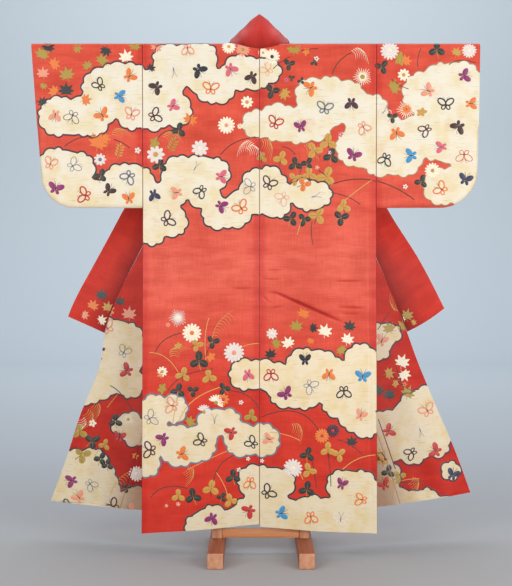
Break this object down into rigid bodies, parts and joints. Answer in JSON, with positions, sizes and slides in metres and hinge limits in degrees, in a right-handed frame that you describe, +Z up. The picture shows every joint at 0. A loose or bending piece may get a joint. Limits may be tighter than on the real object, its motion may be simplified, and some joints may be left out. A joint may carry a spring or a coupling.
{
  "type": "noh costume on a wooden display stand",
  "caption": "Wide-sleeved silk noh robe with overlap panels and long collar, hung by its sleeves on a low wooden stand, its fronts drawn out sideways behind the back",
  "frame": {"origin": "on the floor, in the middle of the whole: robe and stand", "axes": "+Z up; the robe's back faces -Y, its fronts lie towards +Y; +X runs along the rod to the right as the back is looked at"},
  "size_m": [1.358, 0.4052, 1.6286],
  "materials": {
    "red_silk": "satin",
    "collar_silk": "satin",
    "embroidery_silk": "satin",
    "wood": "satin"
  },
  "bodies": {
    "root": {"back_left": "red_silk", "back_right": "red_silk", "front_left": "red_silk", "front_right": "red_silk", "okumi_left": "red_silk", "okumi_right": "red_silk", "sleeve_left": "red_silk", "sleeve_right": "red_silk", "collar": "collar_silk", "rod": "wood", "post_left": "wood", "post_right": "wood", "foot_left": "wood", "foot_right": "wood", "lower_rail": "wood"}
  },
  "joints": []
}
